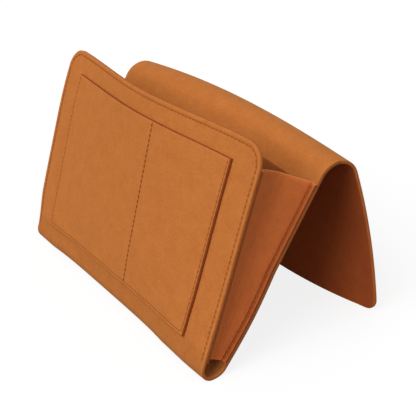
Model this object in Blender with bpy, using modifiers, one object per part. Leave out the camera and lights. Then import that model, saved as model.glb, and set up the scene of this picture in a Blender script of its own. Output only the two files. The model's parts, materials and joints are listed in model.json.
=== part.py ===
"""Felt hanging organizer: a folded bag with side gussets and patch pockets, and a flap that tucks under a mattress.

Each panel has its own local frame, turned about X from the fold's centre line: X runs across the
bag, Y up the panel, and Z square to it. The front panel lies at +Z of its frame and the back panel
at -Z of its own, so the inside of the bag is between them. The part stands on its bottom fold and
on the flap's lower edge, with the origin under the middle of its box.
"""

import math

import bmesh
import bpy
from mathutils import Vector

# Cut sizes of the felt, in metres
WIDTH = 0.325
FELT = 0.003
GUSSET_FELT = 0.002
FRONT_HEIGHT = 0.1968
BACK_LENGTH = 0.185
FRONT_CORNER = 0.020
FLAP_CORNER = 0.015
FOLD_RADIUS = 0.0112
BEND_RADIUS = 0.020

# How the panels stand: tilts from the vertical, and how far each one bows
FRONT_TILT = math.radians(18.4)
BACK_TILT = math.radians(34.0)
FLAP_TILT = math.radians(19.5)
FLAP_FOOT_TILT = math.radians(6.0)
FRONT_BOW = 0.0114
FLAP_BOW = 0.015

# Gussets
FLANGE_WIDTH = 0.006
GUSSET_BOTTOM = 0.006
GUSSET_DROP = 0.007
GUSSET_ANGLE = math.radians(64.0)
CREASE_CLEARANCE_BOTTOM = 0.00035
CREASE_CLEARANCE_TOP = 0.001

# Patch pockets: how far they stay from the panel's sides, its top and the fold's centre line
POCKET_SIDE = 0.034
POCKET_BOTTOM = 0.0145
OUTER_POCKET_DROP = 0.0207
INNER_POCKET_DROP = 0.013
INNER_POCKET_GAPE = 0.008
DIVIDER_X = 0.023

# Seams
THREAD_RADIUS = 0.00035
HEM_INSET = 0.0045
REAR_SEAM_INSET = 0.0038
POCKET_SEAM_INSET = 0.0025
SEAM_END = 0.0015
SEAM_SINK = 0.00005
SEAM_CORNER = 0.003
BOBBIN_STEP = 0.005

# Clearances between pieces that touch, and the distance within which a tube's ends are welded
WELD = 0.00001
GAP = 0.0003
MOUTH_GAP = 0.00065

# Mesh fineness
SHARP_ANGLE = math.radians(40)
COLUMNS = 14
ROWS = 7
CORNER_ROWS = 4
ARC_STEPS = 12
FOLD_STEPS = (2, 6, 4)
EDGE_STEPS = 4
SEAM_STEP = 0.022
SEAM_CORNER_STEPS = 4

# Colours, linear, and roughness
FELT_COLOUR = (0.50, 0.165, 0.040)
POCKET_COLOUR = (0.51, 0.170, 0.042)
GUSSET_COLOUR = (0.42, 0.125, 0.030)
THREAD_COLOUR = (0.30, 0.085, 0.018)
FELT_ROUGHNESS = 0.95
THREAD_ROUGHNESS = 0.6

# Worked out from the sizes above
HALF_WIDTH = WIDTH / 2
SEAM_X = HALF_WIDTH - FLANGE_WIDTH
GUSSET_TOP = BACK_LENGTH - GUSSET_DROP
POCKET_HALF_WIDTH = HALF_WIDTH - POCKET_SIDE
OUTER_POCKET_TOP = FRONT_HEIGHT - OUTER_POCKET_DROP
INNER_POCKET_TOP = BACK_LENGTH - INNER_POCKET_DROP
KNUCKLE = FELT / 2 + GAP
MOUTH_ANGLE = BACK_TILT - FRONT_TILT
FRONT_MID = FOLD_RADIUS - FELT / 2
INNER_FACE = FOLD_RADIUS - FELT
FLANGE_MID = INNER_FACE - GAP - GUSSET_FELT / 2
BEND_MID = BEND_RADIUS + FELT / 2
QUARTER_TURN = math.pi / 2
HALF_TURN = math.pi

collection = None
cutters = None


def up(tilt):
    """Direction in (y, z) up a panel that leans to the rear by tilt."""
    return Vector((math.sin(tilt), math.cos(tilt)))


def outward(tilt):
    """Direction in (y, z) square to that panel, to the rear."""
    return Vector((math.cos(tilt), -math.sin(tilt)))


def flap_point(length, total):
    """Middle of the flap in (y, z) at a length from its hinge, as its tilt eases to that at its foot."""
    rate = (FLAP_FOOT_TILT - FLAP_TILT) / total
    tilt = FLAP_TILT + rate * length
    y = (math.cos(FLAP_TILT) - math.cos(tilt)) / rate
    z = (math.sin(FLAP_TILT) - math.sin(tilt)) / rate
    return Vector((y, z))


def layout():
    """Places of the hinges in (y, z) with the fold's centre over y = 0, the flap's length, and the box's middle."""
    fold = Vector((0, FOLD_RADIUS))
    bend_hinge = fold + FRONT_MID * outward(BACK_TILT) + BACK_LENGTH * up(BACK_TILT)
    bend_centre = bend_hinge + BEND_MID * outward(BACK_TILT)
    flap_side = Vector((math.cos(FLAP_TILT), math.sin(FLAP_TILT)))
    flap_hinge = bend_centre + BEND_MID * flap_side
    drop = flap_hinge.y - FELT / 2 * math.sin(FLAP_FOOT_TILT)
    turned = math.sin(FLAP_TILT) - math.sin(FLAP_FOOT_TILT)
    flap_length = drop * (FLAP_TILT - FLAP_FOOT_TILT) / turned
    foot = flap_hinge + flap_point(flap_length, flap_length)
    rear = foot.x + FELT / 2 * math.cos(FLAP_FOOT_TILT)
    front = -FOLD_RADIUS
    middle = Vector(((rear + front) / 2, 0))
    return {
        "fold": fold - middle,
        "bend_hinge": bend_hinge - middle,
        "bend_centre": bend_centre - middle,
        "flap_hinge": flap_hinge - middle,
        "flap_length": flap_length,
    }


PLACES = layout()


def clear_scene():
    for item in list(bpy.data.objects):
        bpy.data.objects.remove(item)


def new_material(name, colour, roughness):
    material = bpy.data.materials.new(name)
    material.use_nodes = True
    material.diffuse_color = (*colour, 1)
    shader = material.node_tree.nodes["Principled BSDF"]
    shader.inputs["Base Color"].default_value = (*colour, 1)
    shader.inputs["Roughness"].default_value = roughness
    shader.inputs["Metallic"].default_value = 0
    return material


def felt(name, colour):
    return new_material(name + "_felt", colour, FELT_ROUGHNESS)


def thread(name):
    return new_material(name + "_thread", THREAD_COLOUR, THREAD_ROUGHNESS)


def pivot(name, place, turn_x, parent=None):
    """Empty on a hinge's axis, which carries the pieces that move together."""
    empty = bpy.data.objects.new(name, None)
    empty.empty_display_size = FELT
    empty.location = place
    empty.rotation_euler.x = turn_x
    empty.parent = parent
    collection.objects.link(empty)
    return empty


def panel_pivot(name, tilt):
    """Frame of a panel, on the fold's centre line."""
    return pivot(name, (0, *PLACES["fold"]), QUARTER_TURN - tilt)


def place(name, data, parent, material):
    piece = bpy.data.objects.new(name, data)
    piece.parent = parent
    data.materials.append(material)
    collection.objects.link(piece)
    return piece


def mesh_of(name, shape):
    mesh = bpy.data.meshes.new(name)
    shape.to_mesh(mesh)
    shape.free()
    mesh.shade_smooth()
    mesh.set_sharp_from_angle(angle=SHARP_ANGLE)
    return mesh


def spread(low, high, count):
    """Values from low to high in count equal steps."""
    return [low + (high - low) * step / count for step in range(count + 1)]


def columns_of(seam_share):
    """Shares of the half width for the columns of a sheet, with one column on each side seam."""
    return [-1, *spread(-seam_share, seam_share, COLUMNS), 1]


def straight_rows(low, high, half_width):
    return [(height, half_width) for height in spread(low, high, ROWS)]


def corner_rows(square, end, half_width, radius):
    """Rows through a pair of round corners, from the height where the sides are square to the sheet's end."""
    rows = []
    for step in range(1, CORNER_ROWS + 1):
        angle = QUARTER_TURN * step / CORNER_ROWS
        height = square + (end - square) * math.sin(angle)
        rows.append((height, half_width - radius + radius * math.cos(angle)))
    return rows


def sheet(name, rows, seam_share, surface, thickness, parent, material):
    """Felt sheet: rows of (height, half width), each point set by surface(x, height), thickened both ways."""
    columns = columns_of(seam_share)
    shape = bmesh.new()
    bmesh.ops.create_grid(shape, x_segments=len(columns) - 1, y_segments=len(rows) - 1, size=1)
    for vertex in shape.verts:
        column = round((vertex.co.x + 1) / 2 * (len(columns) - 1))
        row = round((vertex.co.y + 1) / 2 * (len(rows) - 1))
        height, half_width = rows[row]
        vertex.co = surface(columns[column] * half_width, height)
    piece = place(name, mesh_of(name, shape), parent, material)
    solidify = piece.modifiers.new("thickness", "SOLIDIFY")
    solidify.thickness = thickness
    solidify.offset = 0
    solidify.use_even_offset = True
    return piece


def strip(name, outline, parent, material):
    """Closed outline in (y, z), drawn out across the whole width of the sheet."""
    curve = bpy.data.curves.new(name, "CURVE")
    curve.dimensions = "2D"
    curve.fill_mode = "BOTH"
    curve.extrude = HALF_WIDTH
    spline = curve.splines.new("POLY")
    spline.points.add(len(outline) - 1)
    for point, (y, z) in zip(spline.points, outline):
        point.co = (y, z, 0, 1)
    spline.use_cyclic_u = True
    piece = place(name, curve, parent, material)
    piece.rotation_euler = (QUARTER_TURN, 0, QUARTER_TURN)
    return piece


def arc(centre, radius, start, end, steps):
    """Points in (y, z) round a centre, from one angle to another."""
    return [
        centre + radius * Vector((math.cos(angle), math.sin(angle)))
        for angle in spread(start, end, steps)
    ]


def lofted(name, low, high, parent, material):
    """Solid between two outlines of equally many points, such as a tapering plate."""
    shape = bmesh.new()
    rings = [[shape.verts.new(point) for point in ring] for ring in (low, high)]
    count = len(low)
    for index in range(count):
        after = (index + 1) % count
        shape.faces.new((rings[0][index], rings[0][after], rings[1][after], rings[1][index]))
    shape.faces.new(list(reversed(rings[0])))
    shape.faces.new(rings[1])
    bmesh.ops.recalc_face_normals(shape, faces=shape.faces)
    return place(name, mesh_of(name, shape), parent, material)


def box(name, low, high, parent, material):
    """Plain strip of felt between two opposite corners."""
    shape = bmesh.new()
    bmesh.ops.create_cube(shape, size=1)
    size = Vector(high) - Vector(low)
    middle = (Vector(high) + Vector(low)) / 2
    for vertex in shape.verts:
        vertex.co = middle + Vector(c * s for c, s in zip(vertex.co, size))
    return place(name, mesh_of(name, shape), parent, material)


def tube(name, points, radius):
    """Round tube along a line of points."""
    curve = bpy.data.curves.new(name, "CURVE")
    curve.dimensions = "3D"
    curve.bevel_depth = radius
    curve.bevel_resolution = 1
    curve.use_fill_caps = True
    spline = curve.splines.new("POLY")
    spline.points.add(len(points) - 1)
    for point, co in zip(spline.points, points):
        point.co = (*co, 1)
    return curve


def seam(name, points, parent):
    """Sewing thread along a line of points."""
    return place(name, tube(name, points, THREAD_RADIUS), parent, thread(name))


def sunk_seam(name, points, panel):
    """Thread that lies in the channel it presses into a panel, which is wider and longer than it by the gap."""
    first = points[0] + (points[0] - points[1]).normalized() * GAP
    last = points[-1] + (points[-1] - points[-2]).normalized() * GAP
    channel = tube(name + "_channel", [first, *points[1:-1], last], THREAD_RADIUS + GAP)
    guide = bpy.data.objects.new(channel.name, channel)
    cutters.objects.link(guide)
    shape = bmesh.new()
    evaluated = guide.evaluated_get(bpy.context.evaluated_depsgraph_get())
    shape.from_mesh(bpy.data.meshes.new_from_object(evaluated))
    bpy.data.objects.remove(guide)
    bmesh.ops.remove_doubles(shape, verts=shape.verts, dist=WELD)
    cutter = bpy.data.objects.new(name + "_channel", mesh_of(name + "_channel", shape))
    cutter.parent = panel.parent
    cutter.hide_render = True
    cutter.display_type = "WIRE"
    cutters.objects.link(cutter)
    cut = panel.modifiers.new(name + "_channel", "BOOLEAN")
    cut.operation = "DIFFERENCE"
    cut.solver = "EXACT"
    cut.object = cutter
    return seam(name, points, panel.parent)


def run(start, end):
    """Points along a straight stretch of a seam, without its last one."""
    length = (Vector(end) - Vector(start)).length
    count = max(1, round(length / SEAM_STEP))
    return [Vector(start).lerp(Vector(end), step / count) for step in range(count)]


def seam_round(half_width, open_end, closed_end, radius):
    """Path in (x, height) down one side of a patch or panel, across its closed end and up the other side."""
    way = 1 if closed_end > open_end else -1
    square = closed_end - way * radius
    inner = half_width - radius
    path = run((-half_width, open_end), (-half_width, square))
    for step in range(SEAM_CORNER_STEPS):
        angle = QUARTER_TURN * step / SEAM_CORNER_STEPS
        path.append(Vector((-inner - radius * math.cos(angle), square + way * radius * math.sin(angle))))
    path += run((-inner, closed_end), (inner, closed_end))
    for step in range(SEAM_CORNER_STEPS):
        angle = QUARTER_TURN * (1 - step / SEAM_CORNER_STEPS)
        path.append(Vector((inner + radius * math.cos(angle), square + way * radius * math.sin(angle))))
    path += run((half_width, square), (half_width, open_end))
    path.append(Vector((half_width, open_end)))
    return path


def across(x, half_width):
    """Share of a bow at x: whole in the middle, none from half_width outwards."""
    return max(0, 1 - (x / half_width) ** 2)


def front_bow(x, height):
    """How far the front panel bellies out."""
    return FRONT_BOW * height / FRONT_HEIGHT * across(x, SEAM_X)


def inner_gape(x, height):
    """How far the inner pocket stands off the back panel."""
    share = (height - POCKET_BOTTOM) / (INNER_POCKET_TOP - POCKET_BOTTOM)
    return INNER_POCKET_GAPE * share**2 * across(x, POCKET_HALF_WIDTH - POCKET_SEAM_INSET)


def front_surface(offset):
    """Surface at an offset out from the middle of the front panel's felt."""
    return lambda x, height: Vector((x, height, FRONT_MID + offset + front_bow(x, height)))


def inner_pocket_surface(offset):
    """Surface at an offset out from the middle of the inner pocket's felt."""
    base = -INNER_FACE + GAP + FELT / 2 + offset
    return lambda x, height: Vector((x, height, base + inner_gape(x, height)))


def make_front_panel(front):
    square = FRONT_HEIGHT - FRONT_CORNER
    rows = straight_rows(MOUTH_GAP, square, HALF_WIDTH)
    rows += corner_rows(square, FRONT_HEIGHT, HALF_WIDTH, FRONT_CORNER)
    material = felt("front_panel", FELT_COLOUR)
    sheet("front_panel", rows, SEAM_X / HALF_WIDTH, front_surface(0), FELT, front, material)


def make_outer_pocket(front):
    rows = straight_rows(POCKET_BOTTOM, OUTER_POCKET_TOP, POCKET_HALF_WIDTH)
    share = 1 - POCKET_SEAM_INSET / POCKET_HALF_WIDTH
    material = felt("outer_pocket", POCKET_COLOUR)
    sheet("outer_pocket", rows, share, front_surface(FELT + GAP), FELT, front, material)


def make_inner_pocket(back):
    rows = straight_rows(POCKET_BOTTOM, INNER_POCKET_TOP, POCKET_HALF_WIDTH)
    share = 1 - POCKET_SEAM_INSET / POCKET_HALF_WIDTH
    material = felt("inner_pocket", POCKET_COLOUR)
    sheet("inner_pocket", rows, share, inner_pocket_surface(0), FELT, back, material)


def make_back_panel(back):
    low = (-HALF_WIDTH, GAP, -FOLD_RADIUS)
    high = (HALF_WIDTH, BACK_LENGTH - KNUCKLE, -INNER_FACE)
    return box("back_panel", low, high, back, felt("back_panel", FELT_COLOUR))


def make_bottom_fold(root):
    """Round bottom of the bag. Its foremost and lowest lines are corners of the outline, so that it has its
    full size and rests on the ground.
    """
    front = HALF_TURN
    bottom = front + QUARTER_TURN
    stops = (front - FRONT_TILT, front, bottom, bottom + QUARTER_TURN - BACK_TILT)
    outer = []
    inner = []
    for start, end, steps in zip(stops, stops[1:], FOLD_STEPS):
        first = 1 if outer else 0
        outer += arc(PLACES["fold"], FOLD_RADIUS, start, end, steps)[first:]
        inner += arc(PLACES["fold"], INNER_FACE, start, end, steps)[first:]
    outline = outer + list(reversed(inner))
    strip("bottom_fold", outline, root, felt("bottom_fold", FELT_COLOUR))


def make_top_bend(bend):
    """Bend over the top, with round edges about its two hinges."""
    centre = PLACES["bend_centre"] - PLACES["bend_hinge"]
    start = HALF_TURN - BACK_TILT
    end = FLAP_TILT
    first = Vector((0, 0))
    last = PLACES["flap_hinge"] - PLACES["bend_hinge"]
    outline = arc(centre, BEND_RADIUS + FELT, start, end, ARC_STEPS)
    outline += arc(last, FELT / 2, end, end - HALF_TURN, EDGE_STEPS)[1:-1]
    outline += arc(centre, BEND_RADIUS, end, start, ARC_STEPS)
    outline += arc(first, FELT / 2, start + HALF_TURN, start, EDGE_STEPS)[1:-1]
    strip("top_bend", outline, bend, felt("top_bend", FELT_COLOUR))


def make_tuck_flap(flap):
    length = PLACES["flap_length"]
    square = length - FLAP_CORNER
    foot_half_width = HALF_WIDTH - FLAP_CORNER
    rows = straight_rows(KNUCKLE, square, HALF_WIDTH)
    rows += corner_rows(square, length, HALF_WIDTH, FLAP_CORNER)

    def surface(x, along):
        y, z = flap_point(along, length)
        inwards = FLAP_BOW * along / length * across(x, foot_half_width)
        return Vector((x, y - inwards, z))

    material = felt("tuck_flap", FELT_COLOUR)
    sheet("tuck_flap", rows, SEAM_X / HALF_WIDTH, surface, FELT, flap, material)


def gusset_width(height, clearance):
    """Width of half a gusset at a height up the panel, from its hinge to its clearance from the mouth's
    middle plane.
    """
    to_middle = FLANGE_MID + height * math.tan(MOUTH_ANGLE / 2)
    to_corner = to_middle - clearance - GUSSET_FELT / 2 * math.cos(GUSSET_ANGLE)
    return to_corner / math.sin(GUSSET_ANGLE)


def plate_outline(height, width):
    """Section of half a gusset: a round edge about the hinge and a square one at the crease."""
    radius = GUSSET_FELT / 2
    edge = arc(Vector((0, 0)), radius, QUARTER_TURN, QUARTER_TURN + HALF_TURN, EDGE_STEPS)
    outline = [Vector((x, height, z)) for x, z in edge]
    return outline + [Vector((width, height, -radius)), Vector((width, height, radius))]


def make_gusset_half(side_name, side, panel_name, panel, depth):
    """Flange sewn to a panel, and the half of the gusset that hinges on it."""
    name = f"{side_name}_gusset_{panel_name}"
    inner, outer = sorted((side * SEAM_X, side * HALF_WIDTH))
    half = GUSSET_FELT / 2
    low = (inner, GUSSET_BOTTOM, depth - half)
    high = (outer, GUSSET_TOP, depth + half)
    box(name + "_flange", low, high, panel, felt(name + "_flange", GUSSET_COLOUR))
    hinge_x = side * (SEAM_X - GAP - half)
    hinge = pivot(name + "_hinge", (hinge_x, 0, depth), 0, panel)
    facing = HALF_TURN if side > 0 else 0
    hinge.rotation_euler.y = facing - side * math.copysign(GUSSET_ANGLE, depth)
    low = plate_outline(GUSSET_BOTTOM, gusset_width(GUSSET_BOTTOM, CREASE_CLEARANCE_BOTTOM))
    high = plate_outline(GUSSET_TOP, gusset_width(GUSSET_TOP, CREASE_CLEARANCE_TOP))
    lofted(name, low, high, hinge, felt(name, GUSSET_COLOUR))


def make_front_seams(front):
    lift = FELT / 2 + GAP + THREAD_RADIUS
    over_flange = GUSSET_FELT + GAP
    hem = seam_round(HALF_WIDTH - HEM_INSET, GUSSET_BOTTOM, FRONT_HEIGHT - HEM_INSET, FRONT_CORNER - HEM_INSET)
    outside = front_surface(lift)
    seam("hem_thread", [outside(*point) for point in hem], front)

    def inside(x, height):
        covered = abs(x) > SEAM_X and height < GUSSET_TOP + BOBBIN_STEP
        return front_surface(-lift - (over_flange if covered else 0))(x, height)

    seam("hem_bobbin_thread", [inside(*point) for point in hem], front)
    half_width = POCKET_HALF_WIDTH - POCKET_SEAM_INSET
    top = OUTER_POCKET_TOP - SEAM_END
    bottom = POCKET_BOTTOM + POCKET_SEAM_INSET
    edge = seam_round(half_width, top, bottom, SEAM_CORNER)
    over_pocket = front_surface(lift + FELT + GAP)
    behind = front_surface(-lift)
    seam("pocket_thread", [over_pocket(*point) for point in edge], front)
    seam("pocket_bobbin_thread", [behind(*point) for point in edge], front)
    clear = THREAD_RADIUS * 2 + GAP
    divider = run((DIVIDER_X, bottom + clear), (DIVIDER_X, top)) + [Vector((DIVIDER_X, top))]
    seam("divider_thread", [over_pocket(*point) for point in divider], front)
    seam("divider_bobbin_thread", [behind(*point) for point in divider], front)


def make_back_seams(back, panel):
    """Seams of the back. Those on its rear face lie below it, so that it can rest flat against a bed."""
    lift = GAP + THREAD_RADIUS
    rear = -FOLD_RADIUS + THREAD_RADIUS + SEAM_SINK
    on_flange = -FLANGE_MID + GUSSET_FELT / 2 + lift
    for side_name, side in (("left", -1), ("right", 1)):
        x = side * (HALF_WIDTH - REAR_SEAM_INSET)
        low, high = GUSSET_BOTTOM + SEAM_END, GUSSET_TOP - SEAM_END
        line = run((x, low), (x, high)) + [Vector((x, high))]
        seam(side_name + "_seam_thread", [Vector((*point, on_flange)) for point in line], back)
        sunk_seam(side_name + "_seam_bobbin_thread", [Vector((*point, rear)) for point in line], panel)
    half_width = POCKET_HALF_WIDTH - POCKET_SEAM_INSET
    top = INNER_POCKET_TOP - SEAM_END
    edge = seam_round(half_width, top, POCKET_BOTTOM + POCKET_SEAM_INSET, SEAM_CORNER)
    face = inner_pocket_surface(FELT / 2 + lift)
    seam("inner_pocket_thread", [face(*point) for point in edge], back)
    sunk_seam("inner_pocket_bobbin_thread", [Vector((*point, rear)) for point in edge], panel)


def main():
    global collection, cutters
    clear_scene()
    collection = bpy.data.collections.new("hanging_storage_organizer")
    cutters = bpy.data.collections.new("cutters")
    bpy.context.scene.collection.children.link(collection)
    bpy.context.scene.collection.children.link(cutters)
    root = pivot("root", (0, 0, 0), 0)
    back = panel_pivot("back_frame", BACK_TILT)
    front = panel_pivot("mouth_hinge", FRONT_TILT)
    bend = pivot("bend_hinge", (0, *PLACES["bend_hinge"]), 0)
    flap = pivot("flap_hinge", (0, *PLACES["flap_hinge"]), 0)
    make_front_panel(front)
    make_bottom_fold(root)
    back_panel = make_back_panel(back)
    make_top_bend(bend)
    make_tuck_flap(flap)
    make_outer_pocket(front)
    make_inner_pocket(back)
    for side_name, side in (("left", -1), ("right", 1)):
        make_gusset_half(side_name, side, "front", front, FLANGE_MID)
        make_gusset_half(side_name, side, "rear", back, -FLANGE_MID)
    make_front_seams(front)
    make_back_seams(back, back_panel)


main()
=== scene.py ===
"""Felt hanging organizer on a pale floor, seen from its right front corner.

Sizes are in metres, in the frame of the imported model. A sheet of felt is laid out by strip
coordinates: x across the bag, and a length along the sheet or up a panel.
"""

import json
import math
import random

import bmesh
import bpy
from mathutils import Matrix, Vector, noise


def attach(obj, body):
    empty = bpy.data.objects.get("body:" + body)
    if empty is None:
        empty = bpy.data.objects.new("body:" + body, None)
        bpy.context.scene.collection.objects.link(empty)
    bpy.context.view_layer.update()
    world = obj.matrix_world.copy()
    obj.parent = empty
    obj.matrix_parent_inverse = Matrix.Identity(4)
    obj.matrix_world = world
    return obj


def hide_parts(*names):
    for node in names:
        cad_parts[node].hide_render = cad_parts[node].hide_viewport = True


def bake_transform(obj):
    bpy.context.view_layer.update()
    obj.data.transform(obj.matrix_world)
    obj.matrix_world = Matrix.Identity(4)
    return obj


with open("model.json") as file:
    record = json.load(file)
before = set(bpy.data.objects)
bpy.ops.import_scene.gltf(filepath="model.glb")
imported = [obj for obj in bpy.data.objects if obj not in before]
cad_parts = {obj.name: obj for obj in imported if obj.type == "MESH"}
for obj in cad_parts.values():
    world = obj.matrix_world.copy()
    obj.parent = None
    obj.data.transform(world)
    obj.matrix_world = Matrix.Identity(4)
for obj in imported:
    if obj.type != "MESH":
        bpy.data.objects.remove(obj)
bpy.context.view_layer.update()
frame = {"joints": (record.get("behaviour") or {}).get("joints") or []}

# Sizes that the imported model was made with
WIDTH = 0.325
FELT = 0.003
GUSSET_FELT = 0.002
FRONT_HEIGHT = 0.1968
BACK_LENGTH = 0.185
FRONT_CORNER = 0.020
FLAP_CORNER = 0.015
FOLD_RADIUS = 0.0112
BEND_RADIUS = 0.020
FRONT_TILT = math.radians(18.4)
BACK_TILT = math.radians(34.0)
FLAP_TILT = math.radians(19.5)
FLAP_FOOT_TILT = math.radians(6.0)
FLAP_LENGTH = 0.1584
FRONT_BOW = 0.0130
FLAP_BOW = 0.017
FLANGE_WIDTH = 0.006
GUSSET_BOTTOM = 0.006
GUSSET_TOP = 0.178
POCKET_HALF_WIDTH = 0.1285
POCKET_BOTTOM = 0.0145
OUTER_POCKET_TOP = 0.1761
INNER_POCKET_TOP = 0.172
INNER_POCKET_GAPE = 0.008
DIVIDER_X = 0.023
HEM_INSET = 0.0045
REAR_SEAM_INSET = 0.0038
POCKET_SEAM_INSET = 0.0025
POCKET_SEAM_ROUND = 0.003
GAP = 0.0003

# Bellies, sags and waves that only the cloth shows
BELLY_X = -0.008
FRONT_BOW_POWER = 1.2
FRONT_SAG = 0.0028
FRONT_SAG_POWER = 2.5
LEFT_BOW = 0.0027
LEFT_BOW_POWER = 1.9
FLAP_BOW_POWER = 2.6
FOLD_BELLY = 0.0010
FOLD_BELLY_X = 0.135
FOLD_BELLY_HALF = 0.050
FOLD_HOLLOW = 0.0024
FOLD_HOLLOW_X = -0.015
FOLD_HOLLOW_HALF = 0.108
FOLD_HOLLOW_POWER = 4
FOLD_WAVE_REACH = 0.060
FOLD_SLUMP = 0.0044
FOLD_SLUMP_REACH = 0.21
FOLD_TUCK = 0.006
FOLD_TUCK_POWER = 8
FOLD_TUCK_REACH = 0.042
BACK_BULGE = 0.0022
BACK_BULGE_REACH = 0.095
BEND_BOW = 0.0105
BEND_SKEW = -0.2
BEND_BOW_START = 0.09
BEND_BOW_WAY = Vector((0, 0.95, 0.30))
GUSSET_INSET = 0.0095
GUSSET_CREASE = 0.45
GUSSET_CREASE_WIDTH = 0.12
GUSSET_SOFT = 0.16
GUSSET_SPREAD = 0.029
GUSSET_WRINKLE = 0.0012
GUSSET_WRINKLES_UP = 30
GUSSET_WRINKLES_ACROSS = 3
FLANGE_PRESS = 0.0006
POCKET_PUFF = 0.0006
POCKET_PUFF_RISE = 0.04
EDGE_ROUND = 0.0006
EDGE_ROUND_SHARE = 0.55
WAVE = 0.0006
WAVES_PER_METRE = 14
WAVE_ONSET = 3
FRONT_WAVE_SEED = 1.5
FLAP_WAVE_SEED = 7.5

# Where one piece of cloth is shown by two meshes
SPLIT = 0.10
SPLIT_STEP = 0.0003

# Stitches, and the groove that they press into the felt
STITCH_LENGTH = 0.0035
STITCH_GAP = 0.0014
STITCH_RADIUS = 0.00042
BOLD_STITCH_RADIUS = 0.00060
STITCH_SIDES = 6
STITCH_TURN = 0.07
STITCH_HEIGHTS = (0.85, 1.15)
STITCH_SHAPE_SHARES = (
    (0.0, -1.6, 0.7),
    (0.10, 0.1, 0.95),
    (0.30, 0.62, 1.05),
    (0.5, 0.75, 1.1),
    (0.70, 0.62, 1.05),
    (0.90, 0.1, 0.95),
    (1.0, -1.6, 0.7),
)
SEAM_END = 0.0015
GROOVE = 0.00045
GROOVE_HALF_WIDTH = 0.0006
RIM_HALF_WIDTH = 0.0013

# Painted shade at grooves, creases, the fold, low on the front and at the back's rims, and a painted
# highlight along rims: a shade of 1 is as dark as a groove
GROOVE_SHADE = 0.66
RIM_PAINTED_HIGHLIGHT = 1.12
HEM_PAINTED_SHADE = 0.85
LOW_SHADE = 0.30
LEFT_HEM_HALF_WIDTH = 0.0013
BACK_RIM_SHADE = 1.6
FOLD_SHADE = 0.85
FOLD_SHADE_START = 0.008
FOLD_SHADE_EASE = 0.005
FOLD_SHADE_REACH = 0.03
FLANGE_SHADE = 0.55

# Mesh fineness
GRID = 0.004
ARC_GRID = 0.0012
CORNER_GRID = 0.0016
CORNER_STEPS = 8
SEAM_GRID = 0.0018
SEAM_STEP = 0.0012
NORMAL_STEP = 0.0005
GUSSET_COLUMNS = 26
FRONT_FLANGE_SHARES = (-1, -0.94, -0.7, -0.4, -0.15)
REAR_FLANGE_SHARES = (1.15, 1.4, 1.7, 1.94, 2)
RIM_CLEARANCE_SHARE = 1.3
SHARP_ANGLE = math.radians(50)
FAR = 1.0
TINY = 1e-9

# Which of a sheet's materials a face has
UPPER = 0
SIDE_RIM = 1
END_RIM = 2
LOWER = 3

# Felt's texture. A tint or relief is (from low, from high, to low, to high), a detail is (octaves,
# roughness)
CLOUD_SCALE = 75.0
CLOUD_DETAIL = (3.0, 0.6)
GRAIN_SCALE = 520.0
GRAIN_DETAIL = (4.0, 0.7)
FUZZ_SCALE = 1900.0
FUZZ_DETAIL = (2.0, 0.6)
HAIR_SCALE = (260.0, 2600.0, 900.0)
HAIR_DETAIL = (2.0, 0.55)
HAIR_TURNS_AND_SEEDS = ((0.4, 3.1), (1.5, 9.7), (2.6, 21.3))
CLOUD_TINT = (0.3, 0.7, -0.16, 0.16)
GRAIN_TINT = (0.3, 0.7, -0.22, 0.22)
HAIR_TINT = (0.45, 0.8, 0.28, 0.76)
GRAIN_RELIEF = (0.3, 0.7, 0.0, 0.9)
FUZZ_RELIEF = (0.3, 0.7, 0.0, 0.25)
HAIR_RELIEF = (0.4, 0.8, 0.0, 0.6)
FELT_BUMP = 0.55
FELT_BUMP_DEPTH = 0.00028
FELT_ROUGHNESS = 0.92
FELT_SPECULAR = 0.15
FELT_SHEEN = 0.16
SHEEN_ROUGHNESS = 0.45
SHEEN_TINT = (1.0, 0.52, 0.22, 1)
CUT_FIBRE = 1.6
GUSSET_PATTERN_WIDTH = 0.07

# Thread's texture
PLY_SCALE = 2400.0
PLY_DETAIL = (2.0, 0.5)
PLY_RANGE = (0.3, 0.7)
THREAD_BUMP = 0.4
THREAD_BUMP_DEPTH = 0.0001
THREAD_ROUGHNESS = 0.75
THREAD_SPECULAR = 0.08

# Camera, fitted to the photograph
CAMERA_PLACE = (0.7609, -0.4867, 0.5239)
CAMERA_TURN = math.radians(56.5)
CAMERA_TILT = math.radians(63.41)
CAMERA_ROLL = math.radians(-0.77)
CAMERA_LENS = 89.3
CAMERA_SENSOR = 36.0

# Light and floor
KEY_WAY = (0.14, -0.72, 0.66)
KEY_LIGHT = 2.2
KEY_SPREAD = math.radians(45)
FILL_WAY = (1.0, -0.12, 0.42)
FILL_LIGHT = 0.5
FILL_SPREAD = math.radians(30)
WORLD_LIGHT = 0.36
FLOOR_GLOW = 0.83
FLOOR_SIZE = 8
FLOOR_COLOUR = (0.20, 0.20, 0.20, 1)
FLOOR_ROUGHNESS = 0.9
FLOOR_SPECULAR = 0.1
WHITE = (1, 1, 1, 1)

HALF_WIDTH = WIDTH / 2
SEAM_X = HALF_WIDTH - FLANGE_WIDTH
HEM_X = HALF_WIDTH - HEM_INSET
POCKET_SEAM_X = POCKET_HALF_WIDTH - POCKET_SEAM_INSET
FRONT_MID = FOLD_RADIUS - FELT / 2
BEND_MID = BEND_RADIUS + FELT / 2
RIM_FALL = math.sqrt(0.5) - 1
RIM_POINTS = 4
FRONT_SWING = math.pi / 2 + FRONT_TILT
BACK_SWING = math.pi / 2 - BACK_TILT
FOLD_TURN = FRONT_SWING + BACK_SWING

HINGES = {joint["name"]: Vector(joint["pos_m"]) for joint in frame["joints"]}
FOLD = HINGES["mouth_hinge"]
BEND = HINGES["bend_hinge"]
FLAP = HINGES["flap_hinge"]


def direction(tilt):
    """Up a panel that leans to the rear by tilt."""
    return Vector((0, math.sin(tilt), math.cos(tilt)))


def rearward(tilt):
    """Square to that panel, to the rear."""
    return Vector((0, math.cos(tilt), -math.sin(tilt)))


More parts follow.
